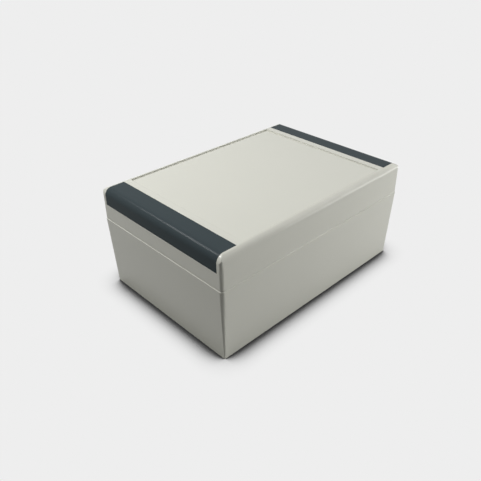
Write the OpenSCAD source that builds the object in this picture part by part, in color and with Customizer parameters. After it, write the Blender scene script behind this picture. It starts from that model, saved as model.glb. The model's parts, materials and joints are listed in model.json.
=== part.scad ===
// Plastic project box: a tall drafted base, a screwed lid with a sunk keypad field,
// and a dark clip-on strip over the screw channel at each short end.
// X runs along the box, Y across it and Z up. The foot stands on Z = 0.

/* [Case] */
// Length of the lid at the parting line
box_l = 220; // [190:5:260]
// Width of the lid at the parting line
box_w = 150; // [130:5:190]
// Height of the base, from its foot to the parting line
base_h = 67; // [50:1:72]
// Height of the lid above the parting line
lid_h = 28.7; // [26:0.1:36]
// Wall thickness of both shells
wall = 3; // [2.6:0.1:3.4]
// Radius of the upright corners at the parting line
corner_r = 2.6; // [2.6:0.1:5]
// Draft of the base, which narrows towards the foot
base_draft = 2; // [1:0.1:2]
// Draft of the lid, which narrows towards the top
lid_draft = 1; // [0.5:0.1:1.5]
// Chamfer round the rim of the base, which makes the parting line
rim_chamfer = 0.8; // [0.3:0.1:0.9]
// How far the rim of the base stands out past the lid
rim_ledge = 0.4; // [0:0.1:0.5]

/* [Lid] */
// Rounding along the two long top edges
long_edge_r = 5; // [4:0.5:7]
// Rounding over the two short ends
end_edge_r = 6.5; // [5:0.5:8]
// Width of the plain rim between a strip and the sunk field
field_rim = 6.5; // [6:0.1:10]
// Depth of the sunk field
field_depth = 1.2; // [0.5:0.1:1.6]
// Corner radius of the sunk field
field_r = 1.5; // [1:0.5:6]

/* [Cover strips] */
// Width of a strip on the top of the lid
strip_w = 19.5; // [18:0.1:22]
// Height of a strip's lower edge above the parting line
strip_low = 13.9; // [12:0.1:16]
// Thickness of a strip
strip_t = 2; // [1.6:0.1:2.2]
// Width of the cheek that the lid keeps at each end of a strip
cheek = 5.1; // [4.5:0.1:7]

/* [Fixings] */
// Distance of the lid screws from the middle of the box, along it
screw_x = 98; // [83:0.5:118]
// Distance of the lid screws from the middle of the box, across it
screw_y = 61; // [51:0.5:80]
// Distance of the wall fixing holes from the middle, across the box
wall_fix_y = 40; // [30:0.5:45]
// Radius of the wall fixing holes
wall_fix_r = 2.3; // [2.1:0.1:2.6]
// Distance of the board pillars from the middle of the box, along it
board_x = 68; // [40:1:74]
// Distance of the board pillars from the middle of the box, across it
board_y = 55; // [30:1:58]
// Height of the board pillars above the floor
pillar_h = 8; // [7:1:20]
// Distance of the lid's own pillars from the middle of the box, along it
lid_board_x = 62; // [30:1:74]
// Distance of the lid's own pillars from the middle of the box, across it
lid_board_y = 50; // [25:1:58]
// Height of the lid's own pillars under its plate
lid_pillar_h = 6; // [4:1:12]

/* [Hidden] */
$fn = 64;
eps = 0.01;
beyond = 40;          // runs a cut or a blank out past the end of the box
base_lean = tan(base_draft);
lid_lean = tan(lid_draft);
fit_gap = 0.15;       // each side of a strip, between it and its channel
strip_gap = 0.3;      // between a strip and the seat behind it
lid_chamfer = 0.25;
floor_bevel = 2;      // between the floor and the walls, inside
floor_corner_r = 1;
flare = 0.5;          // what a pillar, column or bulkhead gains on each side at its root

// Seal: the base's tongue stands in the lid's groove and presses on the gasket
bulkhead_x = 88;      // middle of the wall that shuts off the screw pockets
bulkhead_t = 2.8;
seal_x = bulkhead_x;
seal_y = box_w / 2 - 2.2;
tongue_t = 1.6;
tongue_h = 3;
tongue_r = 1.5;
groove_t = 2;
gasket_t = 1.9;
gasket_h = 1.4;
groove_h = tongue_h + gasket_h;

// Lid inside
lip_h = 6.5;          // height of the thick rim that holds the groove
lip_t = 1.6;          // wall on the inner side of the groove
lid_plate = 3;        // plate under the sunk field
seat_plate = 2.6;     // plate under the strip's seat
chamber_r = 2;
chamber_top_r = 3;
pocket_gap = 0.3;     // makes the walls of the pocket a little thicker than the shell's
pocket_step = 1.3;
pocket_bevel = 2.5;
field_gap = 0.1;      // between the sunk field and the long edges' roundings
field_x = box_l / 2 - strip_w - field_rim;
strip_x = box_l / 2 - strip_w;
field_y = box_w / 2 - lid_h * lid_lean - long_edge_r - field_gap;
channel_y = box_w / 2 - cheek;

// Lid screws, M4, held captive by a washer
shank_r = 2;
head_r = 3.9;
head_h = 2.9;
screw_l = 18;
well_r = 4.3;
well_z = 4.5;
washer_h = 1;
dome_r = 2.2 * head_r;
recess_l = 4;
recess_w = 0.9;
recess_h = 1.6;
tip_r = 1.5;
tip_h = 0.6;
washer_r = 4;
column_r = 5.2;
lid_column_r = 5.7;
column_gap = 0.2;     // between the columns of the lid and those of the base
web_l = 22;           // webs beside the columns of the base
web_t = 2;
lid_web_l = 15;
fix_pad_r = 6;
run_gap = 0.05;
hole_gap = 0.3;

// Threaded inserts
lid_insert_r = 2.8;
lid_insert_h = 8;
board_insert_r = 2.1;
board_insert_h = 5;
board_thread_r = 1.25;
board_tip_room = 1.5; // under the insert, for the tip of its screw
band_groove_z = 0.58; // groove between an insert's bands, as shares of its height
band_groove_h = 0.16;
band_groove_d = 0.4;
pillar_r = 4;
gusset_l = 8;         // reach of the ribs that brace a pillar
gusset_t = 1.2;
gusset_drop = 1.5;
gusset_end = 1;
lid_pillar_r = 3;
pilot_r = 1.1;        // for screws that cut their own thread
pilot_h = 7;

// Rows of repeated details
guide_x = [-60, -20, 20, 60];
guide_gap = 2.2;
guide_t = 1.5;
guide_proud = 2.2;
guide_h = base_h - 12;
tab_y = [-45, 0, 45];
tab_w = 12;
tab_t = 1.2;
tab_reach = 2.6;
arm_y = [-52, -15, 15, 52];
arm_w = 8;
arm_z = 17.2;
arm_h = 1.8;
arm_reach = 7.6;
arm_tip = 0.8;
arm_slant = 0.5;
arm_root = 1.5;

corners = [[-1, -1], [1, -1], [1, 1], [-1, 1]];

// Prism along X of an outline given in Y and Z
module along_x(length) {
    rotate([90, 0, 90]) linear_extrude(length, center = true) children();
}

// Prism along Y of an outline given in X and Z
module along_y(length) {
    rotate([90, 0, 0]) linear_extrude(length, center = true) children();
}

module at_corners(x, y, z) {
    for (c = corners) translate([c.x * x, c.y * y, z]) children();
}

// Flat outline with round corners
module rounded_rect(l, w, r) {
    square([l - 2 * r, w], center = true);
    square([l, w - 2 * r], center = true);
    at_corners(l / 2 - r, w / 2 - r, 0) circle(r);
}

// Ring of even width round the seal's centre line
module seal_ring(t, z0, z1) {
    translate([0, 0, z0]) linear_extrude(z1 - z0) difference() {
        rounded_rect(2 * seal_x + t, 2 * seal_y + t, tongue_r + t / 2);
        rounded_rect(2 * seal_x - t, 2 * seal_y - t, tongue_r - t / 2);
    }
}

// Upright block with round corners and leaning sides. l, w and r are its size at
// height 0, and each side moves out by spread for every millimetre of height.
module leaning_block(l, w, r, z0, z1, spread) {
    cx = l / 2 - r;
    cy = w / 2 - r;
    r0 = r + z0 * spread;
    r1 = r + z1 * spread;
    at_corners(cx, cy, z0) cylinder(h = z1 - z0, r1 = r0, r2 = r1);
    along_x(2 * cx) polygon([[-cy - r0, z0], [cy + r0, z0], [cy + r1, z1], [-cy - r1, z1]]);
    along_y(2 * cy) polygon([[-cx - r0, z0], [cx + r0, z0], [cx + r1, z1], [-cx - r1, z1]]);
}

// Cross-section of the lid: leaning sides that run into round upper corners
module lid_profile(half, h, r) {
    zc = h - r;
    xc = half - zc * lid_lean - r / cos(lid_draft);
    xt = xc + r * cos(lid_draft);
    zt = zc + r * sin(lid_draft);
    polygon([[-half, 0], [half, 0], [xt, zt], [xc, h], [-xc, h], [-xt, zt]]);
    for (m = [-1, 1]) translate([m * xc, zc]) circle(r);
}

// The lid's end cross-section, moved in by a wall
module end_profile(inset) {
    lid_profile(box_l / 2 - inset, lid_h - inset, end_edge_r - inset);
}

module base_outside() {
    l = box_l + 2 * rim_ledge;
    w = box_w + 2 * rim_ledge;
    r = corner_r + rim_ledge;
    k = rim_chamfer * (1 + base_lean);
    leaning_block(l, w, r, -base_h, -rim_chamfer, base_lean);
    leaning_block(l - 2 * k, w - 2 * k, r - k, -rim_chamfer, 0, -1);
}

// Hollow of the base. A second block that widens at 45 degrees bevels its floor.
module base_inside() {
    z = wall - base_h;
    narrow = wall + floor_bevel + z - z * base_lean;
    intersection() {
        leaning_block(box_l - 2 * wall, box_w - 2 * wall, corner_r, z, 1, base_lean);
        leaning_block(box_l - 2 * narrow, box_w - 2 * narrow, floor_corner_r - z, z, 2, 1);
    }
}

// Walls between the board chamber and the screw pockets, thicker at the floor
module bulkheads() {
    t = bulkhead_t / 2;
    for (m = [-1, 1]) translate([m * bulkhead_x, 0, 0]) along_y(box_w)
        polygon([[-t - flare, -base_h + eps], [t + flare, -base_h + eps], [t, 0], [-t, 0]]);
}

// Pairs of ribs on the long walls that hold a board on edge
module board_guides() {
    for (x = guide_x, m = [-1, 1], s = [-1, 1])
        translate([x + s * (guide_gap + guide_t) / 2, 0, 0]) along_x(guide_t) polygon([
            [m * (box_w / 2 - wall - base_h * base_lean - guide_proud), -base_h + 1],
            [m * box_w / 2, -base_h + 1],
            [m * box_w / 2, guide_h - base_h],
            [m * (box_w / 2 - wall - guide_proud), guide_h - base_h - 1]]);
}

// Webs that tie the screw columns to the end walls and bulkheads
module column_webs() {
    for (m = [-1, 1], n = [-1, 1])
        translate([m * screw_x - web_l / 2, n * screw_y - web_t / 2, 1 - base_h])
            cube([web_l, web_t, base_h - lid_insert_h - 1]);
}

// Thin rib through a pillar that slopes down to the floor on both sides of it
module gusset() {
    top = pillar_h - gusset_drop;
    along_y(gusset_t) polygon([[-gusset_l, -1], [gusset_l, -1], [gusset_l, gusset_end],
        [pillar_r, top], [-pillar_r, top], [-gusset_l, gusset_end]]);
}

// Pillars that stand on the floor and carry the circuit board, each braced by two ribs
module board_pillars() {
    at_corners(board_x, board_y, 1 - base_h)
        cylinder(h = wall + pillar_h - 1, r1 = pillar_r + flare, r2 = pillar_r);
    at_corners(board_x, board_y, wall - base_h) for (a = [0, 90]) rotate([0, 0, a]) gusset();
}

module base() {
    color("#d5d5cb") translate([0, 0, base_h]) difference() {
        union() {
            difference() {
                base_outside();
                base_inside();
            }
            intersection() {
                leaning_block(box_l - wall, box_w - wall, corner_r, -base_h, 0, base_lean);
                union() {
                    bulkheads();
                    board_guides();
                    column_webs();
                }
            }
            at_corners(screw_x, screw_y, 1 - base_h)
                cylinder(h = base_h - 1, r1 = column_r + flare, r2 = column_r);
            at_corners(screw_x, wall_fix_y, 1 - base_h) cylinder(h = wall + 1, r = fix_pad_r);
            board_pillars();
            seal_ring(tongue_t, -1, tongue_h);
        }
        at_corners(screw_x, screw_y, -lid_insert_h) cylinder(h = lid_insert_h + 1, r = lid_insert_r);
        at_corners(screw_x, screw_y, -screw_l) cylinder(h = screw_l, r = shank_r + hole_gap);
        at_corners(screw_x, wall_fix_y, -base_h - 1) cylinder(h = wall + 4, r = wall_fix_r);
        at_corners(board_x, board_y, wall + pillar_h - base_h - board_insert_h)
            cylinder(h = board_insert_h + 1, r = board_insert_r);
        at_corners(board_x, board_y, wall + pillar_h - base_h - board_insert_h - board_tip_room)
            cylinder(h = board_tip_room + 1, r = board_thread_r);
    }
}

module lid_outside() {
    k = lid_chamfer * (1 + lid_lean);
    intersection() {
        along_x(box_l + 2) lid_profile(box_w / 2, lid_h, long_edge_r);
        along_y(box_w + 2) lid_profile(box_l / 2, lid_h, end_edge_r);
        leaning_block(box_l, box_w, corner_r, 0, lid_h, -lid_lean);
        leaning_block(box_l - 2 * k, box_w - 2 * k, corner_r - k, 0, lid_h + 1, 1);
    }
}

// Hollow over the board chamber, narrow behind the seal's thick rim
module lid_chamber() {
    x = seal_x - groove_t / 2 - lip_t;
    y = seal_y - groove_t / 2 - lip_t;
    step = box_w / 2 - wall - (lip_h + lip_t) * lid_lean - y;
    translate([0, 0, -1]) linear_extrude(lip_h + 1 + eps) rounded_rect(2 * x, 2 * y, chamber_r);
    leaning_block(2 * (x - lip_h), 2 * (y - lip_h), chamber_r - lip_h, lip_h, lip_h + step, 1);
    leaning_block(2 * (x + step), 2 * (y + step), chamber_top_r, lip_h + step,
        lid_h - field_depth - lid_plate, -lid_lean);
}

// Hollow over a screw pocket, under the strip's seat
module lid_pocket() {
    x_rim = seal_x + groove_t / 2 + lip_t;
    x_low = box_l / 2 - wall - pocket_gap;
    x_top = box_l / 2 - strip_t - strip_gap - seat_plate - pocket_gap;
    z_step = strip_low - fit_gap - seat_plate;
    z_top = lid_h - strip_t - strip_gap - seat_plate;
    along_y(box_w - 2 * wall - 4 * pocket_gap) polygon([[x_rim, -1], [x_rim, lip_h],
        [x_rim - pocket_step, lip_h + pocket_step], [x_rim - pocket_step, z_top],
        [x_top - pocket_bevel, z_top], [x_top, z_top - pocket_bevel], [x_top, z_step],
        [x_low, z_step - 1], [x_low, -1]]);
}

// Seat of a strip with its tab slots and arm windows
module strip_channel() {
    along_y(2 * channel_y) difference() {
        translate([strip_x - fit_gap, strip_low - fit_gap]) square([beyond, lid_h]);
        end_profile(strip_t + strip_gap);
    }
    for (y = tab_y)
        translate([strip_x - 3, y - tab_w / 2 - fit_gap, lid_h - strip_t - strip_gap])
            cube([4, tab_w + 2 * fit_gap, tab_t + fit_gap]);
    for (y = arm_y)
        translate([box_l / 2 - 8, y - arm_w / 2 - fit_gap, arm_z - strip_gap])
            cube([8, arm_w + 2 * fit_gap, arm_h + 2 * strip_gap]);
}

module lid_columns() {
    top = lid_h - strip_t - strip_gap - 1;
    at_corners(screw_x, screw_y, column_gap) cylinder(h = top - column_gap, r = lid_column_r);
    for (m = [-1, 1], n = [-1, 1])
        translate([m * screw_x - lid_web_l / 2, n * screw_y - web_t / 2, 3])
            cube([lid_web_l, web_t, top - 3]);
}

// Pillars under the lid's plate for a keypad board
module lid_pillars() {
    top = lid_h - field_depth - lid_plate;
    at_corners(lid_board_x, lid_board_y, top - lid_pillar_h)
        cylinder(h = lid_pillar_h + 1, r1 = lid_pillar_r, r2 = lid_pillar_r + flare);
}

module lid() {
    color("#d9d9cf") translate([0, 0, base_h]) difference() {
        union() {
            difference() {
                lid_outside();
                lid_chamber();
                for (m = [0, 1]) mirror([m, 0, 0]) lid_pocket();
            }
            lid_columns();
            lid_pillars();
        }
        at_corners(lid_board_x, lid_board_y, lid_h - field_depth - lid_plate - lid_pillar_h - 1)
            cylinder(h = pilot_h + 1, r = pilot_r);
        for (m = [0, 1]) mirror([m, 0, 0]) strip_channel();
        seal_ring(groove_t, -1, groove_h);
        at_corners(screw_x, screw_y, well_z) cylinder(h = lid_h, r = well_r);
        at_corners(screw_x, screw_y, -1) cylinder(h = well_z + 2, r = shank_r + hole_gap);
        translate([0, 0, lid_h - field_depth]) linear_extrude(field_depth + 1)
            rounded_rect(2 * field_x, 2 * field_y, field_r);
    }
}

module gasket() {
    color("#2f3234") translate([0, 0, base_h]) seal_ring(gasket_t, tongue_h, groove_h);
}

// Strip at the +X end. Its tabs slide under the rim and its arms into the end wall.
module cover_strip() {
    translate([0, 0, base_h]) {
        along_y(2 * (channel_y - fit_gap)) intersection() {
            translate([strip_x, strip_low]) square([beyond, lid_h]);
            difference() {
                end_profile(0);
                end_profile(strip_t);
            }
        }
        for (y = tab_y)
            translate([strip_x - tab_reach, y - tab_w / 2, lid_h - strip_t - strip_gap])
                cube([8, tab_w, tab_t]);
        for (y = arm_y) translate([box_l / 2 - arm_reach, y, arm_z]) along_y(arm_w)
            polygon([[0, arm_slant], [arm_tip, 0], [arm_reach - arm_root, 0],
                [arm_reach - arm_root, arm_h], [arm_tip, arm_h], [0, arm_h - arm_slant]]);
    }
}

// Screw with a domed head and a cross recess, its head's seat at height 0
module screw_shape() {
    difference() {
        intersection() {
            cylinder(h = head_h, r = head_r);
            translate([0, 0, head_h - dome_r]) sphere(dome_r);
        }
        for (a = [45, 135]) rotate([0, 0, a])
            translate([-recess_l / 2, -recess_w / 2, head_h - recess_h])
                cube([recess_l, recess_w, recess_h + 1]);
    }
    translate([0, 0, tip_h - screw_l]) cylinder(h = screw_l, r = shank_r);
    translate([0, 0, -screw_l]) cylinder(h = tip_h, r1 = tip_r, r2 = shank_r);
}

module lid_screw(c) {
    color("#b9bcc0") translate([c.x * screw_x, c.y * screw_y, base_h + well_z + washer_h])
        screw_shape();
}

module screw_washer(c) {
    color("#1d1f20") translate([c.x * screw_x, c.y * screw_y, base_h + well_z]) difference() {
        cylinder(h = washer_h, r = washer_r);
        translate([0, 0, -1]) cylinder(h = washer_h + 2, r = shank_r + run_gap);
    }
}

// Brass insert with its top at height 0 and a groove between two gripping bands
module insert_shape(r, h, thread_r) {
    difference() {
        translate([0, 0, -h]) cylinder(h = h, r = r);
        translate([0, 0, -h - 1]) cylinder(h = h + 2, r = thread_r);
        translate([0, 0, -h * band_groove_z]) difference() {
            cylinder(h = h * band_groove_h, r = r + 1);
            translate([0, 0, -1]) cylinder(h = h, r = r - band_groove_d);
        }
    }
}

module lid_insert(c) {
    color("#c8a24a") translate([c.x * screw_x, c.y * screw_y, base_h])
        insert_shape(lid_insert_r, lid_insert_h, shank_r + run_gap);
}

module board_insert(c) {
    color("#c8a24a") translate([c.x * board_x, c.y * board_y, wall + pillar_h])
        insert_shape(board_insert_r, board_insert_h, board_thread_r);
}

base();
lid();
gasket();
color("#3b4348") mirror([1, 0, 0]) cover_strip();  // cover_strip_left
color("#3b4348") cover_strip();  // cover_strip_right
for (i = [0:3]) {
    lid_screw(corners[i]);
    screw_washer(corners[i]);
    lid_insert(corners[i]);
    board_insert(corners[i]);
}
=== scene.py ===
import json
import math

import bmesh
import bpy
from mathutils import Matrix, Vector


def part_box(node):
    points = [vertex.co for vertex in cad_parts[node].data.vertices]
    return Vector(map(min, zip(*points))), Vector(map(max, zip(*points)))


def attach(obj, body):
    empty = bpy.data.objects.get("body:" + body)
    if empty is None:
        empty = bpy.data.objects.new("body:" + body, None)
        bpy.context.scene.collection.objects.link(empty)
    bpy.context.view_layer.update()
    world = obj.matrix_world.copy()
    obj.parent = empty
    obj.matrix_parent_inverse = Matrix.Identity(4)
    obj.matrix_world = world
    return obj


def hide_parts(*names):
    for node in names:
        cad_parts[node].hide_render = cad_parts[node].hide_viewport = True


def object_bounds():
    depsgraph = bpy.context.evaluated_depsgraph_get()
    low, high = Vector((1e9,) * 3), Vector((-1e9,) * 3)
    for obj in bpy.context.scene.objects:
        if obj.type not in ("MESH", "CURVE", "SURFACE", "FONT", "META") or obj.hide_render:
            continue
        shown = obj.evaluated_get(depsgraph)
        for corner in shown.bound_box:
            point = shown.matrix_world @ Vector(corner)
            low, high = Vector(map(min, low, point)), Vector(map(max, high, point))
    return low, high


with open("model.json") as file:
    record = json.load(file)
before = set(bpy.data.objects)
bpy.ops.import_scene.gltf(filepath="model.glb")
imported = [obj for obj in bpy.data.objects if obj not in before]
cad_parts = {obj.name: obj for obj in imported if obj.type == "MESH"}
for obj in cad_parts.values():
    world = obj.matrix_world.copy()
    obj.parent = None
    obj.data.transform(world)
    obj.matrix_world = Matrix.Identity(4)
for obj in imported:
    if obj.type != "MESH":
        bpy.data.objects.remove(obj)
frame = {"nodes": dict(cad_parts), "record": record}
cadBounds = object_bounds()
nodes = frame["nodes"]
scene = bpy.context.scene
mm = 0.001
print("frame loaded:", len(nodes), "nodes")


# Follows the sRGB curve
def hexToLinear(hexColour):
    channels = [int(hexColour[i:i + 2], 16) / 255 for i in (1, 3, 5)]
    linear = [c / 12.92 if c <= 0.04045 else ((c + 0.055) / 1.055) ** 2.4 for c in channels]
    return (*linear, 1)


# Adds a node, sets its own settings and its unlinked inputs, and links the rest
def addNode(tree, kind, settings=None, links=None):
    node = tree.nodes.new(kind)
    for name, value in (settings or {}).items():
        if isinstance(name, str) and hasattr(node, name):
            setattr(node, name, value)
        else:
            node.inputs[name].default_value = value
    for name, source in (links or {}).items():
        tree.links.new(source, node.inputs[name])
    return node


def emptyMaterial(name):
    material = bpy.data.materials.new(name)
    material.use_nodes = True
    material.node_tree.nodes.clear()
    return material


# Moulded ABS. The steel cavity was spark-eroded, so the skin has a fine even grain and a satin
# gloss. The real grain is about 0.05 mm, and it is drawn at 0.4 mm so that it shows close up.
moulding = {
    "grainSize": 0.4,      # mm
    "grainDepth": 0.003,   # mm
    "edgeRadius": 0.6,     # mm, softens the look of every edge as its small moulded rounding does
    "edgeSamples": 6,
    "flowSize": 60,        # mm, slow drift of tone where the melt flowed
    "flowContrast": 0.012,
    "sheenSize": 12,       # mm, patches that released a little glossier
    "sheenContrast": 0.03,
}
# The gloss is lower than plain ABS has, so that the reflections stay as faint as they should be.
caseLook = {"colour": "#d6d6cc", "roughness": 0.15, "specular": 0.14, "ior": 1.5}
stripLook = {"colour": "#40494c", "roughness": 0.17, "specular": 0.05, "ior": 1.3}


def mouldedAbs(name, look):
    material = emptyMaterial(name)
    tree = material.node_tree
    place = addNode(tree, "ShaderNodeTexCoord").outputs["Object"]
    flow = addNode(tree, "ShaderNodeTexNoise",
                   {"Scale": 1 / (moulding["flowSize"] * mm), "Detail": 2}, {"Vector": place})
    tone = addNode(tree, "ShaderNodeMapRange",
                   {"To Min": 1 - moulding["flowContrast"], "To Max": 1 + moulding["flowContrast"]},
                   {"Value": flow.outputs["Fac"]})
    colour = addNode(tree, "ShaderNodeHueSaturation", {"Color": hexToLinear(look["colour"])},
                     {"Value": tone.outputs["Result"]})
    patches = addNode(tree, "ShaderNodeTexNoise",
                      {"Scale": 1 / (moulding["sheenSize"] * mm), "Detail": 3}, {"Vector": place})
    roughness = addNode(tree, "ShaderNodeMapRange",
                        {"To Min": look["roughness"] - moulding["sheenContrast"],
                         "To Max": look["roughness"] + moulding["sheenContrast"]},
                        {"Value": patches.outputs["Fac"]})
    grain = addNode(tree, "ShaderNodeTexNoise",
                    {"Scale": 1 / (moulding["grainSize"] * mm), "Detail": 3, "Roughness": 0.6},
                    {"Vector": place})
    edges = addNode(tree, "ShaderNodeBevel", {"samples": moulding["edgeSamples"],
                                                   "Radius": moulding["edgeRadius"] * mm})
    skin = addNode(tree, "ShaderNodeBump", {"Distance": moulding["grainDepth"] * mm},
                   {"Height": grain.outputs["Fac"], "Normal": edges.outputs["Normal"]})
    shader = addNode(tree, "ShaderNodeBsdfPrincipled",
                     {"IOR": look["ior"], "Specular IOR Level": look["specular"]},
                     {"Base Color": colour.outputs["Color"],
                      "Roughness": roughness.outputs["Result"],
                      "Normal": skin.outputs["Normal"]})
    addNode(tree, "ShaderNodeOutputMaterial", links={"Surface": shader.outputs[0]})
    return material


# Foamed rubber: open cells leave a dull skin full of small pits, darkened towards their bottoms
# with painted shade.
foam = {
    "colour": "#2f3234",
    "cellSize": 0.5,             # mm
    "cellDepth": 0.08,           # mm
    "pitShadeTone": (0.75, 1.2),     # painted shade: brightness at the bottom of a pit, in the middle of a cell, and between cells
    "roughness": 0.9,
    "specular": 0.2,
    "ior": 1.5,
}


def foamedRubber(name):
    material = emptyMaterial(name)
    tree = material.node_tree
    place = addNode(tree, "ShaderNodeTexCoord").outputs["Object"]
    cells = addNode(tree, "ShaderNodeTexVoronoi", {"Scale": 1 / (foam["cellSize"] * mm)},
                    {"Vector": place})
    pits = addNode(tree, "ShaderNodeBump", {"Distance": foam["cellDepth"] * mm},
                   {"Height": cells.outputs["Distance"]})
    # painted shade: each pit is darker towards its bottom, where its shade would fall
    tone = addNode(tree, "ShaderNodeMapRange",
                   {"To Min": foam["pitShadeTone"][0], "To Max": foam["pitShadeTone"][1]},
                   {"Value": cells.outputs["Distance"]})
    colour = addNode(tree, "ShaderNodeHueSaturation", {"Color": hexToLinear(foam["colour"])},
                     {"Value": tone.outputs["Result"]})
    shader = addNode(tree, "ShaderNodeBsdfPrincipled",
                     {"Roughness": foam["roughness"], "IOR": foam["ior"],
                      "Specular IOR Level": foam["specular"]},
                     {"Base Color": colour.outputs["Color"], "Normal": pits.outputs["Normal"]})
    addNode(tree, "ShaderNodeOutputMaterial", links={"Surface": shader.outputs[0]})
    return material


# Punched rubber sheet: smooth talc-dulled faces with a faint bloom.
washerLook = {
    "colour": "#1f2122",
    "bloom": "#343738",
    "bloomSize": 1.5,     # mm
    "dustDepth": 0.01,    # mm
    "roughness": 0.65,
}


def punchedRubber(name):
    material = emptyMaterial(name)
    tree = material.node_tree
    place = addNode(tree, "ShaderNodeTexCoord").outputs["Object"]
    cloud = addNode(tree, "ShaderNodeTexNoise",
                    {"Scale": 1 / (washerLook["bloomSize"] * mm), "Detail": 4}, {"Vector": place})
    colour = addNode(tree, "ShaderNodeMix",
                     {"data_type": "RGBA", 6: hexToLinear(washerLook["colour"]),
                      7: hexToLinear(washerLook["bloom"])},
                     {"Factor": cloud.outputs["Fac"]})
    dust = addNode(tree, "ShaderNodeBump", {"Distance": washerLook["dustDepth"] * mm},
                   {"Height": cloud.outputs["Fac"]})
    shader = addNode(tree, "ShaderNodeBsdfPrincipled", {"Roughness": washerLook["roughness"]},
                     {"Base Color": colour.outputs[2], "Normal": dust.outputs["Normal"]})
    addNode(tree, "ShaderNodeOutputMaterial", links={"Surface": shader.outputs[0]})
    return material


# Turned and rolled metal: fine rings round each piece's axis stretch its highlights, and
# handling dulls it in patches. The ring size is the rings' spacing in mm over 2 pi.
turning = {
    "bandRate": 20,                # what the wave texture multiplies its scale by
    "ringWander": 1.5,
    "wearSize": 0.6,               # mm
    "wearRange": (-0.06, 0.1),     # added to the roughness
}
steelLook = {"colour": "#c4c6c8", "roughness": 0.27, "ringSize": 0.12, "ringDepth": 0.002}
brassLook = {"colour": "#d1a64e", "roughness": 0.3, "ringSize": 0.15, "ringDepth": 0.003}


def turnedMetal(name, look):
    material = emptyMaterial(name)
    tree = material.node_tree
    place = addNode(tree, "ShaderNodeTexCoord").outputs["Object"]
    rings = addNode(tree, "ShaderNodeTexWave",
                    {"wave_type": "BANDS", "bands_direction": "Z",
                     "Scale": 1 / (look["ringSize"] * mm) / turning["bandRate"],
                     "Distortion": turning["ringWander"], "Detail": 2},
                    {"Vector": place})
    wear = addNode(tree, "ShaderNodeTexNoise",
                   {"Scale": 1 / (turning["wearSize"] * mm), "Detail": 4}, {"Vector": place})
    least, most = turning["wearRange"]
    roughness = addNode(tree, "ShaderNodeMapRange",
                        {"To Min": look["roughness"] + least, "To Max": look["roughness"] + most},
                        {"Value": wear.outputs["Fac"]})
    cut = addNode(tree, "ShaderNodeBump", {"Distance": look["ringDepth"] * mm},
                  {"Height": rings.outputs["Fac"]})
    shader = addNode(tree, "ShaderNodeBsdfPrincipled",
                     {"Base Color": hexToLinear(look["colour"]), "Metallic": 1},
                     {"Roughness": roughness.outputs["Result"], "Normal": cut.outputs["Normal"]})
    addNode(tree, "ShaderNodeOutputMaterial", links={"Surface": shader.outputs[0]})
    return material


finishes = {
    "case_abs": mouldedAbs("mouldedAbsLightGrey", caseLook),
    "strip_abs": mouldedAbs("mouldedAbsSlate", stripLook),
    "seal_rubber": foamedRubber("foamedRubber"),
    "washer_rubber": punchedRubber("punchedRubber"),
    "stainless": turnedMetal("rolledStainlessSteel", steelLook),
    "brass": turnedMetal("turnedBrass", brassLook),
}
for part in frame["record"]["subparts"]:
    cadMesh = nodes[part["node"]].data
    cadMesh.materials.clear()
    cadMesh.materials.append(finishes[part["material_slot"]])
print("finishes on", len(nodes), "nodes")


# Turned shape from its half outline, with rows no further apart than step. A point on the axis
# is one vertex that its whole ring shares.
def latheMesh(name, outline, around, step, closed=False):
    points = []
    spans = list(zip(outline, outline[1:] + outline[:1]))
    for (r0, z0), (r1, z1) in spans if closed else spans[:-1]:
        count = max(1, math.ceil(math.hypot(r1 - r0, z1 - z0) / step))
        points += [(r0 + (r1 - r0) * i / count, z0 + (z1 - z0) * i / count) for i in range(count)]
    if not closed:
        points.append(outline[-1])
    shape = bmesh.new()
    rings = []
    for r, z in points:
        if r < 1e-6:
            rings.append([shape.verts.new((0, 0, z * mm))] * around)
        else:
            rings.append([shape.verts.new((r * mm * math.cos(a), r * mm * math.sin(a), z * mm))
                          for a in (2 * math.pi * i / around for i in range(around))])
    pairs = list(zip(rings, rings[1:] + rings[:1]))
    for low, high in pairs if closed else pairs[:-1]:
        for i in range(around):
            j = (i + 1) % around
            corners = dict.fromkeys((low[i], low[j], high[j], high[i]))
            if len(corners) > 2:
                shape.faces.new(corners)
    bmesh.ops.recalc_face_normals(shape, faces=shape.faces)
    mesh = bpy.data.meshes.new(name)
    shape.to_mesh(mesh)
    shape.free()
    return mesh


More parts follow.
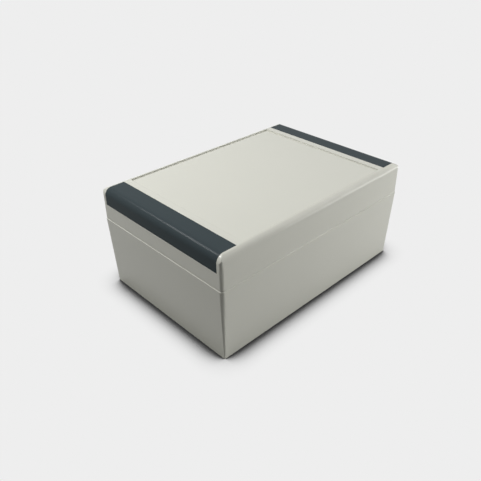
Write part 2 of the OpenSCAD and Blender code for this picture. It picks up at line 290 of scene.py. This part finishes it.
# Tree that cuts one helix, or two crossed ones, into the round faces between two radii
def helixTree():
    tree = bpy.data.node_groups.new("helixCut", "GeometryNodeTree")
    face = tree.interface
    face.new_socket("Geometry", in_out="INPUT", socket_type="NodeSocketGeometry")
    for name in ("Bottom", "Top", "Inner", "Outer", "Pitch", "Depth", "Run Out"):
        face.new_socket(name, in_out="INPUT", socket_type="NodeSocketFloat")
    for name in ("Starts", "Crossed"):
        face.new_socket(name, in_out="INPUT", socket_type="NodeSocketInt")
    face.new_socket("Place", in_out="INPUT", socket_type="NodeSocketVector")
    face.new_socket("Finish", in_out="INPUT", socket_type="NodeSocketMaterial")
    face.new_socket("Geometry", in_out="OUTPUT", socket_type="NodeSocketGeometry")
    given = addNode(tree, "NodeGroupInput").outputs

    position = addNode(tree, "GeometryNodeInputPosition")
    at = addNode(tree, "ShaderNodeSeparateXYZ", links={0: position.outputs[0]}).outputs
    flat = addNode(tree, "ShaderNodeCombineXYZ", links={0: at[0], 1: at[1]})
    radius = addNode(tree, "ShaderNodeVectorMath", {"operation": "LENGTH"}, {0: flat.outputs[0]})
    outwards = addNode(tree, "ShaderNodeVectorMath", {"operation": "NORMALIZE"},
                       {0: flat.outputs[0]})
    inside = addNode(tree, "FunctionNodeCompare",
                     {"data_type": "FLOAT", "operation": "GREATER_EQUAL"},
                     {0: radius.outputs["Value"], 1: given["Inner"]})
    outside = addNode(tree, "FunctionNodeCompare",
                      {"data_type": "FLOAT", "operation": "LESS_EQUAL"},
                      {0: radius.outputs["Value"], 1: given["Outer"]})
    band = addNode(tree, "FunctionNodeBooleanMath", {"operation": "AND"},
                   {0: inside.outputs[0], 1: outside.outputs[0]})

    # place round the axis and along it, both counted in grooves
    angle = addNode(tree, "ShaderNodeMath", {"operation": "ARCTAN2"}, {0: at[1], 1: at[0]})
    turn = addNode(tree, "ShaderNodeMath", {"operation": "DIVIDE", 1: 2 * math.pi},
                   {0: angle.outputs[0]})
    around = addNode(tree, "ShaderNodeMath", {"operation": "MULTIPLY"},
                     {0: turn.outputs[0], 1: given["Starts"]})
    along = addNode(tree, "ShaderNodeMath", {"operation": "DIVIDE"}, {0: at[2], 1: given["Pitch"]})

    # distance from the middle of a groove, at most half a groove
    rightHand = addNode(tree, "ShaderNodeMath", {"operation": "SUBTRACT"},
                        {0: along.outputs[0], 1: around.outputs[0]})
    rightHand = addNode(tree, "ShaderNodeMath", {"operation": "PINGPONG", 1: 0.5},
                        {0: rightHand.outputs[0]})
    leftHand = addNode(tree, "ShaderNodeMath", {"operation": "ADD"},
                       {0: along.outputs[0], 1: around.outputs[0]})
    leftHand = addNode(tree, "ShaderNodeMath", {"operation": "PINGPONG", 1: 0.5},
                       {0: leftHand.outputs[0]})
    plain = addNode(tree, "ShaderNodeMath", {"operation": "SUBTRACT", 0: 1}, {1: given["Crossed"]})
    leftHand = addNode(tree, "ShaderNodeMath", {"operation": "MAXIMUM"},
                       {0: leftHand.outputs[0], 1: plain.outputs[0]})
    nearest = addNode(tree, "ShaderNodeMath", {"operation": "MINIMUM"},
                      {0: rightHand.outputs[0], 1: leftHand.outputs[0]})
    groove = addNode(tree, "ShaderNodeMath", {"operation": "MULTIPLY_ADD", 1: -2, 2: 1},
                     {0: nearest.outputs[0]})

    # the grooves run out towards both ends
    fromBottom = addNode(tree, "ShaderNodeMath", {"operation": "SUBTRACT"},
                         {0: at[2], 1: given["Bottom"]})
    fromTop = addNode(tree, "ShaderNodeMath", {"operation": "SUBTRACT"},
                      {0: given["Top"], 1: at[2]})
    fromEnd = addNode(tree, "ShaderNodeMath", {"operation": "MINIMUM"},
                      {0: fromBottom.outputs[0], 1: fromTop.outputs[0]})
    share = addNode(tree, "ShaderNodeMath", {"operation": "DIVIDE", "use_clamp": True},
                    {0: fromEnd.outputs[0], 1: given["Run Out"]})
    cut = addNode(tree, "ShaderNodeMath", {"operation": "MULTIPLY"},
                  {0: groove.outputs[0], 1: share.outputs[0]})
    cut = addNode(tree, "ShaderNodeMath", {"operation": "MULTIPLY"},
                  {0: cut.outputs[0], 1: given["Depth"]})
    inwards = addNode(tree, "ShaderNodeMath", {"operation": "MULTIPLY", 1: -1}, {0: cut.outputs[0]})
    shift = addNode(tree, "ShaderNodeVectorMath", {"operation": "SCALE"},
                    {0: outwards.outputs[0], "Scale": inwards.outputs[0]})
    carved = addNode(tree, "GeometryNodeSetPosition",
                     links={"Geometry": given["Geometry"], "Selection": band.outputs[0],
                            "Offset": shift.outputs[0]})
    placed = addNode(tree, "GeometryNodeTransform",
                     links={"Geometry": carved.outputs[0], "Translation": given["Place"]})
    real = addNode(tree, "GeometryNodeRealizeInstances", links={"Geometry": placed.outputs[0]})
    dressed = addNode(tree, "GeometryNodeSetMaterial",
                      links={"Geometry": real.outputs[0], "Material": given["Finish"]})
    addNode(tree, "NodeGroupOutput", links={"Geometry": dressed.outputs[0]})
    return tree


helixCut = helixTree()


# Turns the result of a piece's modifiers into its own plain mesh
def keepResult(piece):
    bpy.context.view_layer.update()
    evaluated = piece.evaluated_get(bpy.context.evaluated_depsgraph_get())
    piece.data = bpy.data.meshes.new_from_object(evaluated)
    piece.modifiers.clear()


# Runs a tree on a piece and keeps the result
def runTree(piece, tree, values):
    modifier = piece.modifiers.new(tree.name, "NODES")
    modifier.node_group = tree
    for item in tree.interface.items_tree:
        if item.in_out == "INPUT" and item.name in values:
            modifier[item.identifier] = values[item.name]
    keepResult(piece)


def newPiece(name, mesh):
    piece = bpy.data.objects.new(name, mesh)
    scene.collection.objects.link(piece)
    return piece


def smoothByAngle(piece, degrees):
    piece.data.shade_smooth()
    piece.data.set_sharp_from_angle(angle=math.radians(degrees))


# M4 pan-head machine screw, in mm, seated at height 0 under its head
screwSize = {
    "headRadius": 3.9,
    "headHeight": 2.9,
    "headSide": 1.2,             # height at which the dome starts
    "headBevel": 0.2,
    "domeStep": 15,              # degrees between the dome's rows
    "shankRadius": 2.0,
    "length": 18,
    "tipBevel": 0.55,
    "pitch": 0.7,
    "threadDepth": 0.43,
    "threadBand": (0.5, 1.01),   # shares of the shank's radius between which the thread is cut
    "threadOverrun": 0.1,        # past the tip
    "plainNeck": 2.5,
    "recessReach": 2.05,
    "recessWidth": 0.9,
    "recessDepth": 1.7,
    "recessTaper": (0.35, 0.6),  # share of reach and of width left at the bottom
    "recessOverrun": 0.5,        # of the driver point above the head
    "wingAngles": (45, 135),     # degrees
    "facets": 48,                # round the axis
    "rowsPerThread": 7,
    "smoothAngle": 35,           # degrees
}


def screwMesh():
    s = screwSize
    tip = -s["length"]
    side = [(s["headRadius"] - s["headBevel"], 0), (s["headRadius"], s["headBevel"]),
            (s["headRadius"], s["headSide"])]
    rise = s["headHeight"] - s["headSide"]
    dome = [(s["headRadius"] * math.sin(a), s["headSide"] + rise * math.cos(a))
            for a in (math.radians(d) for d in range(90 - s["domeStep"], -1, -s["domeStep"]))]
    outline = [(0, tip), (s["shankRadius"] - s["tipBevel"], tip),
               (s["shankRadius"], tip + s["tipBevel"]), (s["shankRadius"], 0), *side, *dome]
    return latheMesh("screw", outline, s["facets"], s["pitch"] / s["rowsPerThread"])


# Four-winged driver point that leaves the cross recess
def driverPoint():
    s = screwSize
    reachLeft, widthLeft = s["recessTaper"]
    bottom, top = s["headHeight"] - s["recessDepth"], s["headHeight"] + s["recessOverrun"]
    shape = bmesh.new()
    for angle in s["wingAngles"]:
        wing = bmesh.ops.create_cube(shape, size=1)["verts"]
        for v in wing:
            low = v.co.z < 0
            v.co.x *= 2 * s["recessReach"] * (reachLeft if low else 1)
            v.co.y *= s["recessWidth"] * (widthLeft if low else 1)
            v.co.z = bottom if low else top
        bmesh.ops.rotate(shape, verts=wing, matrix=Matrix.Rotation(math.radians(angle), 3, "Z"))
    bmesh.ops.scale(shape, verts=shape.verts, vec=(mm, mm, mm))
    mesh = bpy.data.meshes.new("driverPoint")
    shape.to_mesh(mesh)
    shape.free()
    return newPiece("driverPoint", mesh)


# Stamps the recess into the screw head and keeps the result
def stampRecess(piece, point):
    stamp = piece.modifiers.new("recess", "BOOLEAN")
    stamp.object = point
    stamp.operation = "DIFFERENCE"
    stamp.solver = "EXACT"
    stamp.use_self = True
    keepResult(piece)


stampedScrew = newPiece("stampedScrew", screwMesh())
point = driverPoint()
stampRecess(stampedScrew, point)
threadInner, threadOuter = screwSize["threadBand"]
for corner in range(1, 5):
    low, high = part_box(f"lid_screw_{corner}")
    seat = Vector(((low.x + high.x) / 2, (low.y + high.y) / 2,
                   high.z - screwSize["headHeight"] * mm))
    screw = newPiece(f"threadedScrew{corner}", stampedScrew.data.copy())
    runTree(screw, helixCut, {
        "Bottom": -(screwSize["length"] + screwSize["threadOverrun"]) * mm,
        "Top": -screwSize["plainNeck"] * mm,
        "Inner": threadInner * screwSize["shankRadius"] * mm,
        "Outer": threadOuter * screwSize["shankRadius"] * mm,
        "Starts": 1,
        "Crossed": 0,
        "Pitch": screwSize["pitch"] * mm,
        "Depth": screwSize["threadDepth"] * mm,
        "Run Out": screwSize["pitch"] * mm,
        "Place": seat,
        "Finish": finishes["stainless"],
    })
    smoothByAngle(screw, screwSize["smoothAngle"])
    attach(screw, f"screw_{corner}")
    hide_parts(f"lid_screw_{corner}")
bpy.data.objects.remove(stampedScrew)
bpy.data.objects.remove(point)
print("screws threaded")

# Knurled brass inserts, in mm. A plain groove parts the two knurled bands.
insertSizes = {
    "lid_insert": {"radius": 2.8, "bore": 2.05, "height": 8, "pitch": 0.7},
    "board_insert": {"radius": 2.1, "bore": 1.25, "height": 5, "pitch": 0.5},
}
knurl = {
    "depth": 0.22,
    "spacing": 0.75,
    "runOut": 0.5,
    "margin": 0.1,                 # either side of the face that is knurled
    "grooveDepth": 0.4,
    "grooveShare": (0.42, 0.58),   # of the height
    "chamfer": 0.25,
    "facets": 72,                  # round the axis
    "rowsPerThread": 6,
    "smoothAngle": 30,             # degrees
}
# A bore's thread is cut outwards, so its depth is negative. It runs on past the lower end.
boreThread = {"depth": -0.3, "margins": (0.1, 0.05), "overrun": 1}


def insertMesh(size):
    r, h, c = size["radius"], size["height"], knurl["chamfer"]
    low, high = (-share * h for share in reversed(knurl["grooveShare"]))
    neck = r - knurl["grooveDepth"]
    outline = [(size["bore"], -h), (r - c, -h), (r, c - h), (r, low), (neck, low), (neck, high),
               (r, high), (r, -c), (r - c, 0), (size["bore"] + c, 0), (size["bore"], -c)]
    return latheMesh("insert", outline, knurl["facets"], size["pitch"] / knurl["rowsPerThread"],
                     closed=True)


boreInner, boreOuter = boreThread["margins"]
for kind, size in insertSizes.items():
    for corner in range(1, 5):
        low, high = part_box(f"{kind}_{corner}")
        place = Vector(((low.x + high.x) / 2, (low.y + high.y) / 2, high.z))
        insert = newPiece(f"knurled_{kind}_{corner}", insertMesh(size))
        starts = round(2 * math.pi * size["radius"] / knurl["spacing"])
        runTree(insert, helixCut, {
            "Bottom": -size["height"] * mm,
            "Top": 0.0,
            "Inner": (size["radius"] - knurl["margin"]) * mm,
            "Outer": (size["radius"] + knurl["margin"]) * mm,
            "Starts": starts,
            "Crossed": 1,
            "Pitch": knurl["spacing"] * mm,
            "Depth": knurl["depth"] * mm,
            "Run Out": knurl["runOut"] * mm,
            "Place": Vector((0, 0, 0)),
            "Finish": finishes["brass"],
        })
        runTree(insert, helixCut, {
            "Bottom": -(size["height"] + boreThread["overrun"]) * mm,
            "Top": 0.0,
            "Inner": (size["bore"] - boreInner) * mm,
            "Outer": (size["bore"] + boreOuter) * mm,
            "Starts": 1,
            "Crossed": 0,
            "Pitch": size["pitch"] * mm,
            "Depth": boreThread["depth"] * mm,
            "Run Out": size["pitch"] * mm,
            "Place": place,
            "Finish": finishes["brass"],
        })
        smoothByAngle(insert, knurl["smoothAngle"])
        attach(insert, "base")
        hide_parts(f"{kind}_{corner}")
print("inserts knurled")


stage = {
    "floorSize": 6,            # m
    "floorDrop": 0.1,          # mm, keeps the foot and the floor from sharing one plane
    "floorColour": "#eeeeee",
    "bounceColour": "#a0a09e",   # what the floor sends back onto the object
    "paintedShadowReach": 24,        # mm, how far the painted contact shadow of the foot spreads over the floor
    "contactSamples": 16,
    # painted contact shadow: share of open sky at the floor -> share of the floor's colour left
    "paintedShadowFalloff": ((0.5, 0.025), (0.56, 0.11), (0.63, 0.36), (0.69, 0.57), (0.8, 0.82),
                       (0.9, 0.953), (1, 1)),
}


# Light Path value that is 1 for what the camera sees directly, in a reflection or through glass
def seenByCamera(tree):
    path = addNode(tree, "ShaderNodeLightPath").outputs
    direct = addNode(tree, "ShaderNodeMath", {"operation": "MAXIMUM"},
                     {0: path["Is Camera Ray"], 1: path["Is Glossy Ray"]})
    return addNode(tree, "ShaderNodeMath", {"operation": "MAXIMUM"},
                   {0: direct.outputs[0], 1: path["Is Transmission Ray"]}).outputs[0]


# Painted studio floor: a pale even ground with a painted contact shadow where the object stands on
# it. The painted shadow is ambient occlusion, so it doesn't move with the soft boxes.
def paintedFloor():
    material = emptyMaterial("paintedStudioFloor")
    tree = material.node_tree
    reach = addNode(tree, "ShaderNodeAmbientOcclusion",
                    {"samples": stage["contactSamples"], "Distance": stage["paintedShadowReach"] * mm})
    falloff = addNode(tree, "ShaderNodeValToRGB", links={"Fac": reach.outputs["AO"]})
    ramp = falloff.color_ramp
    ramp.interpolation = "LINEAR"
    stops = stage["paintedShadowFalloff"]
    for _ in range(len(stops) - 2):
        ramp.elements.new(0.5)
    for element, (share, left) in zip(ramp.elements, stops):
        element.position = share
        element.color = (left, left, left, 1)
    # the ground's emission is dimmed by the painted contact shadow
    ground = addNode(tree, "ShaderNodeEmission", {"Color": hexToLinear(stage["floorColour"])},
                     {"Strength": falloff.outputs["Color"]})
    bounce = addNode(tree, "ShaderNodeBsdfDiffuse", {"Color": hexToLinear(stage["bounceColour"])})
    surface = addNode(tree, "ShaderNodeMixShader",
                      links={0: seenByCamera(tree), 1: bounce.outputs[0], 2: ground.outputs[0]})
    addNode(tree, "ShaderNodeOutputMaterial", links={"Surface": surface.outputs[0]})
    return material


def makeFloor():
    half = stage["floorSize"] / 2
    mesh = bpy.data.meshes.new("floor")
    mesh.from_pydata([(-half, -half, 0), (half, -half, 0), (half, half, 0), (-half, half, 0)], [],
                     [(0, 1, 2, 3)])
    mesh.materials.append(paintedFloor())
    floor = newPiece("floor", mesh)
    floor.location.z = -stage["floorDrop"] * mm


# A faint even light, since the soft boxes do the rest
room = {"strength": 0.02, "colour": "#ffffff"}


def makeRoom():
    world = bpy.data.worlds.new("studio")
    world.use_nodes = True
    scene.world = world
    tree = world.node_tree
    tree.nodes.clear()
    backdrop = addNode(tree, "ShaderNodeBackground", {"Color": hexToLinear(stage["floorColour"])})
    light = addNode(tree, "ShaderNodeBackground",
                    {"Color": hexToLinear(room["colour"]), "Strength": room["strength"]})
    both = addNode(tree, "ShaderNodeMixShader",
                   links={0: seenByCamera(tree), 1: light.outputs[0], 2: backdrop.outputs[0]})
    addNode(tree, "ShaderNodeOutputWorld", links={"Surface": both.outputs[0]})


# Soft boxes round the object's middle: azimuth from +X towards +Y and elevation in degrees,
# distance, width and height in m, and power in W
softBoxes = {
    "nearField": {"azimuth": 138, "elevation": 70, "distance": 0.56, "size": (0.3, 0.3),
                  "power": 0.9},
    "behind": {"azimuth": 121.5, "elevation": 45, "distance": 1.1, "size": (0.36, 0.2),
               "power": 7.2},
    "nearEnd": {"azimuth": 180, "elevation": 60, "distance": 0.8, "size": (0.4, 0.4),
                "power": 0.3},
    "side": {"azimuth": 300, "elevation": 32, "distance": 0.9, "size": (0.7, 0.4),
             "power": 2.3},
    "farSide": {"azimuth": 325, "elevation": 0.1, "distance": 0.8, "size": (0.6, 0.09),
                "power": 2.5},
    "farGlint": {"azimuth": 325, "elevation": 20, "distance": 0.8, "size": (0.3, 0.12),
                 "power": 0.35},
    "farHigh": {"azimuth": 325, "elevation": 36, "distance": 0.8, "size": (0.36, 0.14),
                "power": 0.55},
}


def makeLights():
    centre = (Vector(cadBounds[0]) + Vector(cadBounds[1])) / 2
    for name, box in softBoxes.items():
        lamp = bpy.data.lights.new(name, "AREA")
        lamp.shape = "RECTANGLE"
        lamp.size, lamp.size_y = box["size"]
        lamp.energy = box["power"]
        holder = bpy.data.objects.new(name, lamp)
        scene.collection.objects.link(holder)
        a, e = math.radians(box["azimuth"]), math.radians(box["elevation"])
        away = Vector((math.cos(a) * math.cos(e), math.sin(a) * math.cos(e), math.sin(e)))
        holder.location = centre + away * box["distance"]
        holder.rotation_euler = (-away).to_track_quat("-Z", "Y").to_euler()


view = {
    "azimuth": -44.79,        # degrees, 0 looks along +Y
    "elevation": 33.41,
    "distance": 0.46391,      # m, from the point that it aims at
    "aim": (-29.9, -25.04, -3.85),   # mm, from the object's middle
    "lens": 40.06,            # mm
    "sensor": 36,             # mm
    "clipStart": 0.01,        # m
    "shift": (-0.02574, 0.01613),
}


def makeCamera():
    camera = bpy.data.cameras.new("camera")
    camera.sensor_width = view["sensor"]
    camera.lens = view["lens"]
    camera.shift_x, camera.shift_y = view["shift"]
    camera.clip_start = view["clipStart"]
    holder = bpy.data.objects.new("camera", camera)
    scene.collection.objects.link(holder)
    a, e = math.radians(view["azimuth"]), math.radians(view["elevation"])
    back = Vector((math.sin(a) * math.cos(e), -math.cos(a) * math.cos(e), math.sin(e)))
    centre = (Vector(cadBounds[0]) + Vector(cadBounds[1])) / 2
    holder.location = centre + Vector(view["aim"]) * mm + back * view["distance"]
    holder.rotation_euler = (-back).to_track_quat("-Z", "Y").to_euler()
    scene.camera = holder


makeFloor()
makeRoom()
makeLights()
makeCamera()
scene.view_settings.view_transform = "Standard"
print("stage set")
